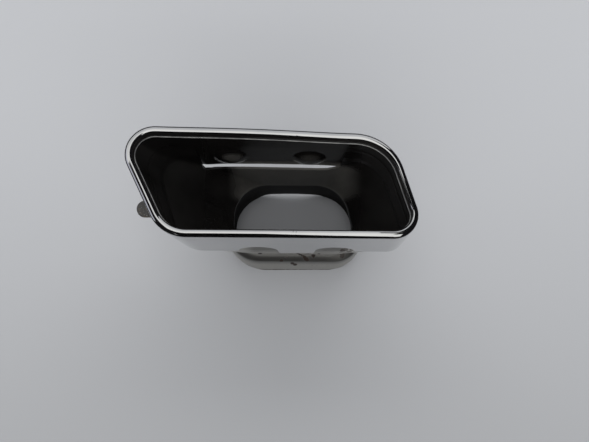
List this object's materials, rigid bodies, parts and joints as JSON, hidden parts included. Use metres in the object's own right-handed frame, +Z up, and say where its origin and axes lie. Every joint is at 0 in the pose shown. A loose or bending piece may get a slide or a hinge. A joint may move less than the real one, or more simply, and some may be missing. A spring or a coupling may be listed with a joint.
{
  "type": "exhaust tip",
  "caption": "Car exhaust tip: slanted four-sided chrome mouth with a rolled rim, tapering to an oval steel inlet socket, with dished joints and a side lug.",
  "frame": {"origin": "middle of the oval inlet opening, in the plane of the inlet end that the tip stands on", "axes": "+Z up from the inlet end to the mouth, +X along the long way of the mouth, +Y to the side of the open seam"},
  "size_m": [0.1795, 0.0714, 0.111],
  "materials": {
    "outer_shell": "polished outside, satin black inside",
    "inlet_adapter": "dull and spotted with rust outside, satin black inside",
    "fixing_lug": "dark, lightly rusted"
  },
  "bodies": {
    "root": {"outer_shell": "outer_shell", "inlet_adapter": "inlet_adapter", "fixing_lug": "fixing_lug"}
  },
  "joints": []
}
